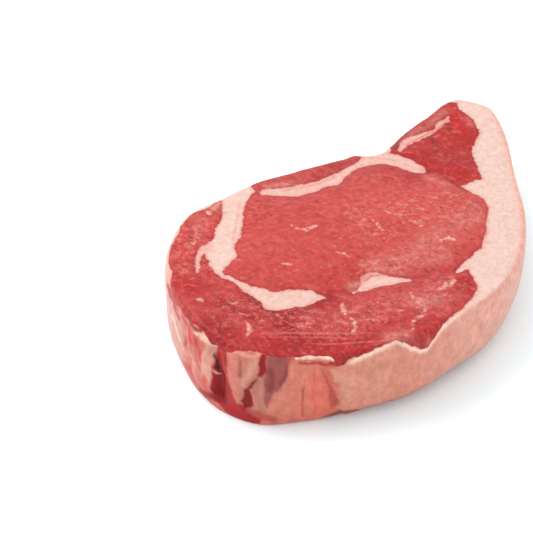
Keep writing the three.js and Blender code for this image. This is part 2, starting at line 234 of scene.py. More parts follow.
# Places that are paler or deeper than their muscle: (line, reach, tint).
TONES = [
    ([(-24, -17), (-16, -23), (4, -24), (26, -26)], 6.5, (218, 104, 97)),
    ([(0, 6), (14, 0), (22, -12)], 9, (218, 84, 77)),
    ([(-10, -31), (-2, -33)], 4, (218, 106, 100)),
    ([(-40, -8), (-33, -12)], 5, (204, 64, 60)),
    ([(-84, -2), (-78, 2)], 4, (206, 78, 72)),
    ([(-60, -26), (-42, -32), (-25, -43)], 7, (206, 80, 76)),
    ([(-31, -42), (-26, -46)], 4, (210, 112, 106)),
    ([(-96, 4), (-90, -10), (-76, -23), (-62, -38), (-42, -55)], 6, (188, 48, 49)),
    ([(-48, -52), (-38, -56)], 4, (202, 60, 60)),
    ([(-91, 9), (-91, 3)], 4, (168, 40, 42)),
    ([(-72, -4), (-62, -11), (-50, -15)], 3, (170, 44, 46)),
    ([(-69, 12), (-70.7, 6), (-71.2, 0), (-69.6, -4.6)], 1.8, (162, 34, 38)),
    ([(-71, -8.5), (-74, -15), (-78.4, -21)], 3.6, (176, 42, 46)),
    ([(-12, -51), (-8, -47)], 4, (188, 50, 46)),
    ([(-69, -7.5), (-73, -11.5)], 2.6, (166, 32, 36)),
    ([(-80, 14), (-79.5, 6), (-77, -4)], 3, (178, 44, 46)),
    ([(48, 10), (60, -4)], 5, (182, 46, 46)),
    ([(80, 19), (76, 14)], 4, (208, 36, 32)),
    ([(50, 26), (60, 26), (70, 24.6), (81, 25)], 2.4, (214, 112, 105)),
    ([(45, 25.5), (52, 28.5), (60, 28.8)], 1.2, (150, 60, 58)),
    ([(61.8, 18.3), (57.1, 12.4), (54.8, 10.3)], 1.6, (160, 34, 38)),
    ([(76, 19), (70, 15)], 1.4, (166, 30, 34)),
    ([(-82, 33), (-79, 27)], 5, (192, 44, 44)),
    ([(-52, 50), (-47, 52)], 3.5, (224, 108, 100)),
    ([(27, 34), (16, 39)], 3, (194, 76, 74)),
    ([(39.5, 7), (40.6, 3.6), (40.3, -3.5), (39.9, -9), (39.4, -15)], 1.3, (172, 42, 44)),
    ([(36, 2), (36, -6)], 2.2, (226, 116, 108)),
    ([(-12, 48), (-8, 45.4), (-3, 41.8)], 1.3, (228, 138, 130)),
    ([(-34, 57), (-37, 56)], 3, (232, 152, 143)),
    ([(-54, -45), (-50, -48)], 3, (224, 130, 122)),
    ([(-40, -17), (-37, -18)], 2, (226, 142, 134)),
    ([(83, 14), (81, 11)], 2, (216, 100, 92)),
]
# Fat that is pinker than the rest: each is a band of the cut face.
PINK_FAT = {
    "back_seam": (245, 195, 183), "lobe_band": (242, 188, 176), "island": (248, 201, 188),
    "front_wedge": (246, 204, 190), "left_spur": (244, 190, 178),
}
PINK_FAT_REACH = 1.5  # how far past the band that goes
# Places on the cut face's fat that are pinker: (line, reach, tint).
FAT_TONES = [
    ([(-34.5, -16), (-29.5, -15.4), (-26, -17.4), (-24.4, -21)], 2.2, (226, 140, 130)),
    ([(-33.5, -18.3), (-29.9, -18.2), (-27.6, -20)], 0.5, (214, 106, 98)),
    ([(-27, 50), (-38, 42), (-47, 36)], 0.7, (240, 182, 170)),
    ([(-8, 41), (2, 34.5), (12, 31.5)], 0.7, (236, 170, 158)),
    ([(31, 31), (37, 22), (38.5, 14)], 0.7, (240, 178, 166)),
    ([(51, 23.6), (60, 21.8), (70, 20.2), (78, 20.6)], 0.6, (228, 138, 128)),
]
# Faint marks of the knife on the cut face: each knot is (x, y, half width).
KNIFE_MARKS = [
    [(-82.4, -8.6, 0.2), (-72.6, -18.3, 0.4), (-62.7, -29, 0.4), (-55.9, -38.3, 0.2)],
    [(-82, -12, 0.1), (-69, -24.7, 0.3), (-61, -35.5, 0.1)],
    [(-76.5, -21.5, 0.1), (-64.2, -34.7, 0.3), (-54, -47, 0.1)],
]
# Places richer in marbling: (line, reach).
MARBLED = [
    ([(-4, 2), (12, -6), (26, -22)], 14),
    ([(-30, -14), (-16, -23), (4, -26)], 7),
    ([(-78, 8), (-74, -2), (-58, -26), (-36, -38), (-16, -44)], 7.5),
    ([(-72, 38), (-56, 50)], 6),
]
# The wall beyond the lean, (mm round the outline, red, green, blue).
WALL_TINTS = [
    (0, 228, 164, 148), (30, 224, 166, 154), (62, 236, 186, 174), (90, 214, 130, 122), (120, 206, 116, 110),
    (152, 240, 192, 180), (200, 220, 162, 150), (212, 211, 150, 139), (222, 208, 142, 131),
    (230, 206, 124, 112), (238, 206, 112, 100), (246, 208, 116, 104), (270, 208, 124, 106),
    (283, 214, 124, 106), (292, 208, 108, 93), (297, 215, 141, 120), (310, 219, 146, 125),
    (318, 216, 141, 120), (335, 223, 148, 131), (351, 229, 161, 143), (380, 230, 168, 152),
]
# Patches painted over the wall in this order: a line of (mm round the outline, height, half width),
# a tint, and how wide its soft edge is.
PATCHES = {
    "left_lean": (
        [(205, 29.5, 1.4), (210, 30.5, 2.8), (216, 31.5, 3.3), (222, 33, 2), (228, 34.5, 1)],
        (182, 50, 52), 1.2,
    ),
    "left_dots": ([(214, 26.5, 0.8), (219, 28, 1.3), (223, 28.2, 0.8)], (188, 62, 62), 1),
    "left_pink": ([(219, 31.2, 0.3), (222, 31.8, 0.7), (226.5, 31, 0.5)], (232, 144, 134), 0.8),
    "pale_streak": ([(211, 19.5, 1), (216, 20.8, 1.8), (222, 16.5, 1)], (232, 188, 170), 2),
    "left_orange": ([(225.5, 31, 1.4), (231, 29.5, 2.6), (236, 27.5, 1.2)], (200, 78, 74), 1.8),
    "left_stripe": ([(226, 17, 0.5), (229, 22, 1.2), (232, 27, 0.8)], (196, 84, 80), 1.2),
    "left_pale": ([(224, 14, 1), (230, 15.5, 2.2), (236, 16, 1.4)], (222, 148, 133), 2),
    "deep_streak": (
        [(236, 30.5, 0.4), (238.8, 28, 1.1), (240.8, 25.5, 1.3), (241.3, 21, 0.4)],
        (196, 80, 76), 1,
    ),
    "left_foot": ([(224, 5.5, 1.4), (230, 7.5, 2.4), (237, 5.5, 2.4), (242, 2.5, 1.6)], (196, 82, 76), 2.6),
    "corner_red": (
        [(249.5, 36, 3), (250, 22, 3.4), (250.5, 9, 5.4), (257, 4, 5), (264, 2.5, 2.4)],
        (172, 42, 45), 1.3,
    ),
    "middle_strip": ([(249.5, 31, 1.6), (251, 25, 1.4), (251.8, 20.5, 0.5)], (186, 56, 55), 1.3),
    # Painted highlight: a light pink spot where the upper rounding catches the light.
    "pink_painted_highlight": ([(245.4, 31, 0.5), (250, 32.4, 0.7)], (232, 130, 120), 0.8),
    "pale_wedge": (
        [(259.1, 34.5, 7.1), (259.2, 29.5, 6.2), (258.9, 24.5, 5), (258.4, 20, 3.5), (257.9, 15, 2),
         (257.7, 9.5, 0.5)],
        (202, 120, 105), 0.9,
    ),
    "wedge_pink": ([(254.6, 33, 1.6), (255.2, 26, 1.1), (256.2, 18, 0.8)], (214, 122, 108), 2),
    "wedge_beige": ([(263.4, 32, 1.6), (262, 26, 1.5), (259.5, 20, 0.8)], (204, 142, 124), 2),
    # Painted shade: a darker line along the crease in the pale wedge.
    "wedge_crease_painted_shade": ([(258.6, 31, 0.5), (258.6, 24.5, 0.8)], (174, 94, 82), 1.2),
    "wedge_rim": ([(252.6, 33.2, 0.3), (258, 34.1, 0.6), (265.6, 34.6, 0.6)], (232, 152, 138), 0.8),
    "purple_top": ([(270.5, 33.5, 1.6), (277, 33.5, 1.2)], (188, 78, 76), 2),
    "purple_membrane": (
        [(272.6, 32, 4.1), (271.9, 28.5, 4.1), (270.9, 23.7, 4), (270.4, 20.3, 3.4), (269.1, 17.8, 2.1),
         (268.7, 14, 1.3), (268.7, 10.5, 0.4)],
        (160, 84, 80), 1.4,
    ),
    "purple_dark": ([(269.5, 28, 1.2), (270.5, 24, 1.4), (269, 18, 0.9)], (142, 66, 64), 2.4),
    "purple_right": ([(275.8, 31, 0.4), (275, 26, 0.6), (273.2, 21, 0.5)], (138, 66, 62), 1.2),
    "crimson_gap": (
        [(267.3, 35, 1.1), (266.6, 31, 1.3), (266.5, 28, 1.5), (265.6, 25.5, 0.9)],
        (152, 18, 22), 0.8,
    ),
    "brown_gap": (
        [(265.2, 24.4, 0.5), (263.4, 21.3, 0.7), (262, 18.5, 0.7), (260.6, 16.8, 0.8)],
        (130, 48, 44), 0.8,
    ),
    "pale_slip": (
        [(265.7, 24, 0.7), (265.1, 20.5, 1.6), (265.1, 16.5, 1.9), (265.9, 12.5, 1.8), (266.6, 8, 1.5)],
        (190, 122, 107), 0.9,
    ),
    "deep_middle": (
        [(261.2, 17, 0.9), (261.2, 13.5, 1.7), (260.9, 11, 2.3), (260.2, 8.6, 0.9)],
        (138, 6, 14), 0.9,
    ),
    "dark_left": (
        [(250, 17, 3.4), (249.7, 13, 4.5), (249.2, 9.5, 4.2), (248.6, 6.8, 2.4)],
        (150, 24, 34), 1.1,
    ),
    "deep_left": ([(246.5, 12.5, 0.9), (247, 9.5, 1.5), (247.8, 6.8, 1.3)], (138, 6, 16), 1.2),
    "deep_left_tail": ([(249.4, 8, 0.8), (252, 6.5, 0.8)], (126, 8, 14), 1.2),
    "right_red": ([(254.2, 14, 0.8), (255, 9, 1.7), (256, 5, 2.2)], (178, 40, 43), 1.2),
    "low_brown": ([(262, 7, 1.6), (267, 5.5, 2.2), (271, 3.6, 1.4)], (182, 84, 74), 2),
    "flap": (
        [(244.6, 30.8, 1.3), (244.2, 26, 2.2), (243.9, 20, 2.5), (243, 14, 2.1), (241.8, 8, 1.1)],
        (220, 154, 137), 0.9,
    ),
    "flap_low": ([(242.6, 14, 1.5), (241.8, 6, 1.6)], (212, 98, 86), 1.6),
    # The flap's upper edge: pale membrane, made paler still as a painted highlight.
    "flap_edge_membrane_and_highlight": (
        [(236, 31.4, 0.4), (240.7, 32.6, 1.2), (243.8, 31.8, 1.2), (246, 30.6, 0.4)],
        (238, 186, 168), 0.8,
    ),
    "above_flap": ([(231.5, 31.9, 0.4), (236.2, 33.3, 0.7), (241, 35, 0.4)], (128, 24, 30), 0.6),
    "flap_fleck": ([(246.4, 21.3, 0.4), (248.2, 19.2, 0.5)], (228, 148, 138), 0.5),
    # Painted shade: near-black down the deep crack beside the flap.
    "gap": (
        [(245.8, 28.5, 0.1), (246.7, 25.5, 0.4), (247.7, 22.4, 0.5), (248.7, 19.8, 0.4),
         (249.8, 17.8, 0.2)],
        (92, 8, 12), 0.5,
    ),
    "orange_salmon": ([(285.5, 25, 2), (286.5, 15, 3), (288, 6, 3)], (224, 116, 99), 3),
    "beige": ([(292.5, 27, 1), (295, 23.5, 2.2), (298, 20.5, 2.5), (298, 15, 1)], (216, 148, 129), 2),
    "cap_beige": ([(300, 25.5, 2), (307, 24, 2.4), (313, 27, 1.6)], (210, 138, 116), 4),
    "bright_slip": (
        [(279.2, 33.3, 0.5), (284, 32.9, 1), (289, 32.9, 1.1), (293.4, 32.2, 0.6)],
        (255, 224, 210), 0.6,
    ),
    "slip_line": (
        [(279.4, 31.2, 0.2), (284.1, 30.5, 0.4), (288.3, 30.2, 0.5), (293.4, 30.4, 0.9)],
        (174, 60, 56), 0.7,
    ),
    # Painted shade: darker beside the place where the fat cap's edge stands up from the wall.
    "step_painted_shade": (
        [(288.6, 28, 0.2), (290.4, 22, 0.5), (291.8, 17, 1), (293, 12.5, 1.7), (293.4, 9, 1.5)],
        (192, 86, 76), 1.1,
    ),
    "corner_foot": ([(237, 3, 0.8), (243, 5, 1.8), (248, 5.5, 2)], (158, 44, 44), 1.4),
    # Painted shadow: a dark rim along the foot of the fat cap, where it meets the floor.
    "cap_foot_painted_shadow": (
        [(291, 2, 1.4), (298, 4, 2), (305, 2.6, 0.9), (320, 2.4, 0.8), (350, 2.6, 0.8), (362, 2.4, 0.3)],
        (146, 80, 72), 1.3,
    ),
    # Painted shade: darker lines along the two fine creases in the wall.
    "crease_1": ([(281.6, 20, 0.2), (281.8, 4, 0.4)], (192, 78, 68), 0.8),
    "crease_2": ([(285.5, 26, 0.2), (286, 6, 0.2)], (206, 98, 84), 0.8),
}
FOOT_TINT = (214, 106, 94)
FOOT_TINT_HEIGHT = 9  # the height below which the foot takes that tint
FOOT_TINT_SHARE = 0.55
# The fat's pale edge under the lean: from and to how far round the outline, over what lengths it fades in
# and out there, how deep in the fat its middle lies and how far it reaches from that.
PALE_EDGE = {
    "from": 296, "to": 368, "fades_in": 4, "fades_out": 10, "middle": 1, "reach": 1.3,
    "tint": (252, 210, 194),
}
# How the wall is streaked: mm round, mm down, and the share by which it is lighter or darker.
STREAKS = {"along": (1.3, 6, 0.1), "mottled": (4.5, 4.5, 0.13)}
# How far the patches' outlines wander: (wavelength, mm round, mm up or down).
WALL_WANDER = [(5, 0.6, 0.9), (1.8, 0.35, 0.5)]
WALL_BLEND = 3  # distance past the rim over which the wall's tints take over
BELOW_WANDER = 5  # how far the seams wander on their way through to the lower face
BELOW_WAVE = 45  # the distance between one turn of that and the next
FAR = 9  # a distance at which a vein or a mark no longer shows
# Where each of these starts among the noises.
BELOW_SEED = 20
WANDER_SEED = 30
STREAK_SEED = 40

# ---- Small maths ----


def smooth(t):
    t = np.clip(t, 0, 1)
    return t * t * (3 - 2 * t)


def around(knots, place, period):
    """A periodic value, or colour, through knots (place, value...)."""
    table = np.array(knots, float)
    table = np.vstack([table, table[0]])
    table[-1, 0] += period
    place = np.mod(place, period)
    low = np.searchsorted(table[:, 0], place, side="right") - 1
    t = smooth((place - table[low, 0]) / (table[low + 1, 0] - table[low, 0]))[..., None]
    value = table[low, 1:] + (table[low + 1, 1:] - table[low, 1:]) * t
    return value[..., 0] if value.shape[-1] == 1 else value


def distance_to_chain(chain, x, y):
    """The distance to a chain of knots, less its half width there where the knots have one."""
    best = np.full(np.shape(x), np.inf)
    for a, b in zip(chain[:-1], chain[1:]):
        ax, ay, aw = (*a, 0)[:3]
        bx, by, bw = (*b, 0)[:3]
        length2 = (bx - ax) ** 2 + (by - ay) ** 2
        t = np.clip(((x - ax) * (bx - ax) + (y - ay) * (by - ay)) / length2, 0, 1)
        away = np.hypot(x - ax - t * (bx - ax), y - ay - t * (by - ay))
        best = np.minimum(best, away - aw - t * (bw - aw))
    return best


def nearest_chain(chains, x, y):
    return np.min([distance_to_chain(chain, x, y) for chain in chains], axis=0)


def waves(x, y):
    """Slow waves of unit height over two coordinates in millimetres."""
    return sum(w["share"] * np.sin(x * w["x_rate"] + y * w["y_rate"] + w["phase"]) for w in WAVES)


def noise(points, wavelength, seed):
    """Smooth noise, about -1 to 1, over points in millimetres."""
    draw = np.random.default_rng(SEED + seed)
    table = draw.permutation(NOISE_TABLE)
    slopes = draw.normal(size=(NOISE_TABLE, 3))
    slopes /= np.linalg.norm(slopes, axis=1)[:, None]
    cell = np.floor(points / wavelength).astype(int)
    local = points / wavelength - cell
    fade = local**3 * (local * (local * 6 - 15) + 10)
    total = np.zeros(len(points))
    for corner in itertools.product((0, 1), repeat=3):
        key = np.zeros(len(points), int)
        for axis in range(3):
            key = table[(key + cell[:, axis] + corner[axis]) % NOISE_TABLE]
        weight = np.prod(np.where(corner, fade, 1 - fade), axis=1)
        total += weight * np.sum((local - corner) * slopes[key], axis=1)
    return total * NOISE_GAIN


def linear(colour):
    """Screen colours from 0 to 255, as the linear light that materials work in."""
    c = np.asarray(colour, float) / 255
    return np.where(c <= 0.04045, c / 12.92, ((c + 0.055) / 1.055) ** 2.4)


def albedo(colour, face="top"):
    """The base colour that looks like the screen colour on that face, in the scene's light."""
    return np.maximum((linear(colour) - SHINE) / LIT[face], DARKEST)


def paint(base, colour, share):
    return base + (np.asarray(colour) - base) * share[:, None]


# ---- The outline as a curve ----


def catmull_rom(points, t):
    """Places and slopes of the closed curve through the points, at t points along."""
    whole = np.floor(t).astype(int)
    f = (t - whole)[:, None]
    a, b, c, d = (points[(whole + k) % len(points)] for k in (-1, 0, 1, 2))
    square = 2 * a - 5 * b + 4 * c - d
    cube = 3 * b - a - 3 * c + d
    place = (2 * b + (c - a) * f + square * f**2 + cube * f**3) / 2
    slope = ((c - a) + 2 * square * f + 3 * cube * f**2) / 2
    return place, slope


def girth(count):
    """Evenly spaced points of the widest outline, their outward normals and the outline's length."""
    points = np.array(OUTLINE) * (LENGTH / 2, WIDTH / 2)
    fine = np.linspace(0, len(points), OUTLINE_SAMPLES + 1)
    places, _ = catmull_rom(points, fine)
    travelled = np.append(0, np.cumsum(np.linalg.norm(np.diff(places, axis=0), axis=1)))
    wanted = np.arange(count) / count * travelled[-1]
    places, slopes = catmull_rom(points, np.interp(wanted, travelled, fine))
    slopes /= np.linalg.norm(slopes, axis=1)[:, None]
    return places, np.stack([slopes[:, 1], -slopes[:, 0]], 1), travelled[-1]


# ---- Heights and relief ----


def cut_height(x, y):
    away2 = (x - CORNER_SAG["x"]) ** 2 + (y - CORNER_SAG["y"]) ** 2
    return THICKNESS - TAPER * x / LENGTH - CORNER_SAG["depth"] * np.exp(-away2 / CORNER_SAG["reach"] ** 2)


def muscle_relief(x, y):
    """The muscles' swell and the furrows between them, on the upper cut face."""
    to_fat = nearest_chain(FAT_BANDS.values(), x, y)
    to_seam = nearest_chain(MUSCLE_SEAMS, x, y)
    pillow = PILLOW_RISE * (1 - np.exp(-np.maximum(to_fat, 0) / PILLOW_REACH))
    furrow = SEAM_DIP * np.exp(-((to_seam / SEAM_REACH) ** 2))
    lean = smooth(to_fat + 0.5)
    points = np.stack([x, y, np.zeros_like(x)], 1)
    grain = sum(
        (on_fat + (on_lean - on_fat) * lean) * noise(points, wavelength, seed)
        for seed, (wavelength, on_lean, on_fat) in enumerate(GRAIN)
    )
    return pillow - furrow + WAVE_RISE * waves(x, y) + grain


def wall_relief(s, z):
    """How far the wall stands out at s millimetres round the outline and height z."""
    past = s - FAT_STEP["s"] - (FAT_STEP["z"] - z) * FAT_STEP["lean"]
    rise = smooth(past / FAT_STEP["reach"] + 0.5) * smooth(1 - past / FAT_STEP["fades_after"])
    relief = FAT_STEP["lift"] * rise
    for line, lift, reach in FOLDS.values():
        relief = relief + lift * np.exp(-((distance_to_chain(line, s, z) / reach) ** 2))
    return relief + WAVE_RISE * waves(s, WALL_WAVE_RATE * z)


# ---- Building the surface ----


def profile_angles():
    """Profile angles, a quarter turn up to one down, that space the wall's rows evenly."""
    angle = np.linspace(math.pi / 2, -math.pi / 2, PROFILE_SAMPLES)
    out = NOMINAL_ROLL * np.maximum(np.cos(angle), 0) ** (2 / TOP_CORNER)
    up = NOMINAL_RISE * np.sign(angle) * np.abs(np.sin(angle)) ** (2 / TOP_CORNER)
    travelled = np.append(0, np.cumsum(np.hypot(np.diff(out), np.diff(up))))
    return np.interp(np.linspace(0, travelled[-1], WALL_ROWS), travelled, angle)


def wall_rows(count):
    """The wall's vertices, row by row from the upper edge down, with their s and their edge reach."""
    places, normals, perimeter = girth(count)
    s = np.arange(count) / count * perimeter
    top_roll = around(TOP_ROLL, s, perimeter)
    foot_roll = around(FOOT_ROLL, s, perimeter)
    foot_power = 2 / around(FOOT_CORNER, s, perimeter)
    rim = places - normals * top_roll[:, None]
    top = cut_height(*places.T) + muscle_relief(*rim.T)
    middle = top * around(GIRTH_HEIGHT, s, perimeter)
    lean_reach = around(LEAN_REACH, s, perimeter)
    rows = []
    for angle in profile_angles():
        upper = angle >= 0
        roll = top_roll if upper else foot_roll
        power = 2 / TOP_CORNER if upper else foot_power
        rise = np.abs(np.sin(angle)) ** power
        z = middle + (top - middle) * rise if upper else middle * (1 - rise)
        inset = roll * (max(math.cos(angle), 0) ** power - 1)
        reach = top_roll + top - z + (inset if upper else 0)
        fade = 1 - rise**EDGE_FADE
        ledge = LEDGE * smooth((lean_reach - reach) / LEDGE_REACH + 0.5)
        rough = np.stack([s, np.zeros(count), z], 1)
        grain = sum(
            on_fat * noise(rough, wavelength, seed)
            for seed, (wavelength, _, on_fat) in enumerate(GRAIN)
        )
        offset = inset + fade * (wall_relief(s, z) + ledge + grain)
        rows.append(np.column_stack([places + normals * offset[:, None], z, s, reach]))
    return np.array(rows), perimeter


def ring_steps():
    """Each vertex of the square grid: its ring, as a share of the outermost, and its step round it."""
    last = GRID - 1
    middle = last / 2
    row, column = np.meshgrid(np.arange(GRID), np.arange(GRID), indexing="ij")
    a, b = column - middle, row - middle
    ring = np.maximum(np.abs(a), np.abs(b))
    side = last / (2 * np.maximum(ring, 1))
    right = (a == ring) & (b > -ring)
    far = ~right & (b == ring)
    left = ~right & ~far & (a == -ring)
    round_near = (3 * last + (a + ring) * side) % (4 * last)
    choices = [(b + ring) * side, last + (ring - a) * side, 2 * last + (ring - b) * side]
    return ring / middle, np.select([right, far, left], choices, round_near)


def cut_face(edge):
    """The inside vertices of a cut face, drawn in from its edge, and which of the grid they are."""
    reach, step = ring_steps()
    inside = reach < 1
    whole = np.floor(step + ROUND_OFF).astype(int)
    a, b = edge[whole % len(edge)], edge[(whole + 1) % len(edge)]
    xy = reach[..., None] * (a + (b - a) * (step - whole)[..., None])
    return xy[inside], inside, whole % len(edge)


def nearest_on(edge, points, chunk=4000):
    """The edge vertex nearest to each point, and how far it is."""
    index = np.empty(len(points), int)
    away = np.empty(len(points))
    for start in range(0, len(points), chunk):
        part = slice(start, start + chunk)
        square = ((points[part, None, :] - edge[None]) ** 2).sum(-1)
        index[part] = square.argmin(1)
        away[part] = np.sqrt(square.min(1))
    return index, away


def face_quads(ring, inside, boundary, first):
    """The grid's quads, facing up, once its boundary is the given ring of vertices."""
    index = np.empty((GRID, GRID), int)
    index[inside] = first + np.arange(inside.sum())
    index[~inside] = ring[boundary[~inside]]
    corners = (index[:-1, :-1], index[:-1, 1:], index[1:, 1:], index[1:, :-1])
    return np.stack([corner.ravel() for corner in corners], 1)


def steak_surface():
    """Vertices and quads of the whole skin, with the vertices' s, edge reach and face."""
    count = 4 * (GRID - 1)
    rows, perimeter = wall_rows(count)
    wall = rows.reshape(-1, rows.shape[-1])
    index = np.arange(WALL_ROWS * count).reshape(WALL_ROWS, count)
    after = np.roll(index, -1, axis=1)
    quads = [np.stack([index[:-1], index[1:], after[1:], after[:-1]], -1).reshape(-1, 4)]

    upper, inside, boundary = cut_face(rows[0, :, :2])
    at, away = nearest_on(rows[0, :, :2], upper)
    upper_z = cut_height(*upper.T) + muscle_relief(*upper.T)
    top = np.column_stack([upper, upper_z, rows[0, at, 3], -away])
    quads.append(face_quads(index[0], inside, boundary, len(wall)))

    lower, inside, boundary = cut_face(rows[-1, :, :2])
    at, away = nearest_on(rows[-1, :, :2], lower)
    bottom = np.column_stack([lower, np.zeros(len(lower)), rows[-1, at, 3], away])
    quads.append(face_quads(index[-1], inside, boundary, len(wall) + len(top))[:, ::-1])

    vertices = np.vstack([wall, top, bottom])
    face = np.repeat(["wall", "top", "bottom"], [len(wall), len(top), len(bottom)])
    return vertices, face, np.vstack(quads), perimeter


# ---- Where the fat, marbling and tints lie ----


def fat_distance(vertices, face, perimeter):
    """How far each vertex is from fat: below 0 inside it."""
    x, y, _, s, reach = vertices.T
    below = face == "bottom"
    points = vertices[:, :3]
    x = x + np.where(below, BELOW_WANDER * noise(points, BELOW_WAVE, BELOW_SEED), 0)
    y = y + np.where(below, BELOW_WANDER * noise(points, BELOW_WAVE, BELOW_SEED + 1), 0)
    to_band = nearest_chain(FAT_BANDS.values(), x, y)
    to_cap = around(LEAN_REACH, s, perimeter) - reach
    to_cap_below = reach - around(CAP_BELOW, s, perimeter)
    return np.minimum(to_band, np.where(below, to_cap_below, to_cap))


def wall_share(vertices, face):
    """1 on the wall, past the rounding at its upper edge, and 0 on the cut faces."""
    return smooth(vertices[:, 4] / WALL_BLEND) * (face == "wall")


def paint_tones(tint, tones, x, y):
    for line, reach, colour in tones:
        share = np.exp(-((distance_to_chain(line, x, y) / reach) ** 2))
        tint = paint(tint, albedo(colour), share)
    return tint


def lean_look(vertices):
    """The lean's tint, and how much its brightness varies from place to place."""
    x, y = vertices[:, 0], vertices[:, 1]
    away = np.array([distance_to_chain(muscle["line"], x, y) for muscle in MUSCLES.values()])
    weight = np.exp(-(away - away.min(0)) / MUSCLE_BLEND)
    weight /= weight.sum(0)
    roughness = np.array([muscle["roughness"] for muscle in MUSCLES.values()]) @ weight
    tint = weight.T @ albedo([muscle["tint"] for muscle in MUSCLES.values()])
    return paint_tones(tint, TONES, x, y), roughness


def wall_tint(vertices, to_fat, perimeter):
    """The tint of fat, membrane and lean on the wall below the cut face's lean, with its painted shade,
    shadow and highlights.
    """
    points = vertices[:, :3]
    s, z = vertices[:, 3], vertices[:, 2]
    for step, (wavelength, along, down) in enumerate(WALL_WANDER):
        s = s + along * noise(points, wavelength, WANDER_SEED + 2 * step)
        z = z + down * noise(points, wavelength, WANDER_SEED + 2 * step + 1)
    knots = [(knot[0], *albedo(knot[1:], "wall")) for knot in WALL_TINTS]
    tint = around(knots, s, perimeter)
    tint = paint(tint, albedo(FOOT_TINT, "wall"), FOOT_TINT_SHARE * smooth(1 - z / FOOT_TINT_HEIGHT))
    for line, colour, soft in PATCHES.values():
        share = smooth(0.5 - distance_to_chain(line, s, z) / soft)
        tint = paint(tint, albedo(colour, "wall"), share)
    fade_in = smooth((s - PALE_EDGE["from"]) / PALE_EDGE["fades_in"])
    fade_out = smooth((PALE_EDGE["to"] - s) / PALE_EDGE["fades_out"])
    near = np.exp(-(((-to_fat - PALE_EDGE["middle"]) / PALE_EDGE["reach"]) ** 2))
    tint = paint(tint, albedo(PALE_EDGE["tint"], "wall"), fade_in * fade_out * near)
    for step, (round_size, down_size, share) in enumerate(STREAKS.values()):
        drawn = np.stack([vertices[:, 3] / round_size, vertices[:, 2] / down_size, np.zeros(len(s))], 1)
        tint = tint * (1 + share * noise(drawn, 1, STREAK_SEED + step))[:, None]
    return tint


def fat_tint(vertices, face, to_fat, perimeter):
    """Pale fat on the cut faces, and beyond their edge the wall's tints with their painted shade, shadow
    and highlights.
    """
    x, y = vertices[:, 0], vertices[:, 1]
    tint = np.tile(albedo(FAT_TINT), (len(vertices), 1))
    for band, pink in PINK_FAT.items():
        away = distance_to_chain(FAT_BANDS[band], x, y).clip(0)
        tint = paint(tint, albedo(pink), np.exp(-((away / PINK_FAT_REACH) ** 2)))
    tint = paint_tones(tint, FAT_TONES, x, y)
    share = wall_share(vertices, face)[:, None]
    return tint * (1 - share) + wall_tint(vertices, to_fat, perimeter) * share


# ---- The skin as a mesh ----


def add_value(mesh, name, values):
    mesh.attributes.new(name, "FLOAT", "POINT").data.foreach_set("value", values.astype(np.float32))


def add_colour(mesh, name, colours):
    rgba = np.column_stack([colours, np.ones(len(colours))]).astype(np.float32)
    mesh.attributes.new(name, "FLOAT_COLOR", "POINT").data.foreach_set("color", rgba.ravel())


def add_looks(mesh, vertices, face, perimeter):
    """Puts what the material reads on the skin's vertices."""
    x, y = vertices[:, 0], vertices[:, 1]
    to_fat = fat_distance(vertices, face, perimeter)
    tint, roughness = lean_look(vertices)
    away = [distance_to_chain(line, x, y) / reach for line, reach in MARBLED]
    add_value(mesh, "to_fat", to_fat)
    add_value(mesh, "to_vein", np.where(face == "bottom", FAR, nearest_chain(VEINS, x, y)))
    add_value(mesh, "to_mark", np.where(face == "bottom", FAR, nearest_chain(KNIFE_MARKS, x, y)))
    add_value(mesh, "marbled", np.exp(-np.min(away, axis=0).clip(0) ** 2))
    add_value(mesh, "on_wall", wall_share(vertices, face))
    add_value(mesh, "roughness", roughness)
    add_colour(mesh, "lean_tint", tint)
    add_colour(mesh, "fat_tint", fat_tint(vertices, face, to_fat, perimeter))


def make_steak():
    vertices, face, quads, perimeter = steak_surface()
    low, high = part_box("steak")
    middle = (vertices[:, :2].min(0) + vertices[:, :2].max(0)) / 2
    shift = np.array([low.x + high.x, low.y + high.y]) / 2 / MM - middle
    places = vertices[:, :3] + (*shift, 0)
    mesh = bpy.data.meshes.new("steak_skin")
    mesh.from_pydata((places * MM).tolist(), [], quads.tolist())
    mesh.shade_smooth()
    add_looks(mesh, vertices, face, perimeter)
    steak = bpy.data.objects.new("steak_skin", mesh)
    bpy.context.scene.collection.objects.link(steak)
    return steak, shift


# ---- Material ----

# The grain is drawn out down through the steak, where its fibres run, and a little across its width.
FIBRE_STRETCH = (1, 0.6, 0.2)
# The cut left short streaks across that, along a line that is turned this far from the length.
STREAK_ANGLE = math.radians(50)
STREAK_STRETCH = (0.6, 1, 0.3)
BUNDLE_SIZE = 1.5  # a bundle of fibres
# Each noise: wavelength in millimetres, detail, roughness, distortion.
NOISES = {
    "coarse": (4.5, 2, 0.5, 0), "fine": (1.3, 3, 0.5, 0), "speckle": (1.6, 3, 0.6, 0),
    "mottling": (3.6, 3, 0.6, 0), "plenty": (9, 2, 0.5, 0), "threads": (4.5, 3, 0.6, 0.8),
    "thread_gaps": (2.5, 2, 0.5, 0), "flecks": (1.5, 2, 0.5, 0.4), "blotches": (2.8, 3, 0.65, 0),
    "vein_gaps": (1.5, 2, 0.5, 0), "fat_mottle": (3.6, 4, 0.6, 0), "grit": (1.9, 4, 0.8, 0),
    "fat_bumps": (1.6, 3, 0.5, 0),
}
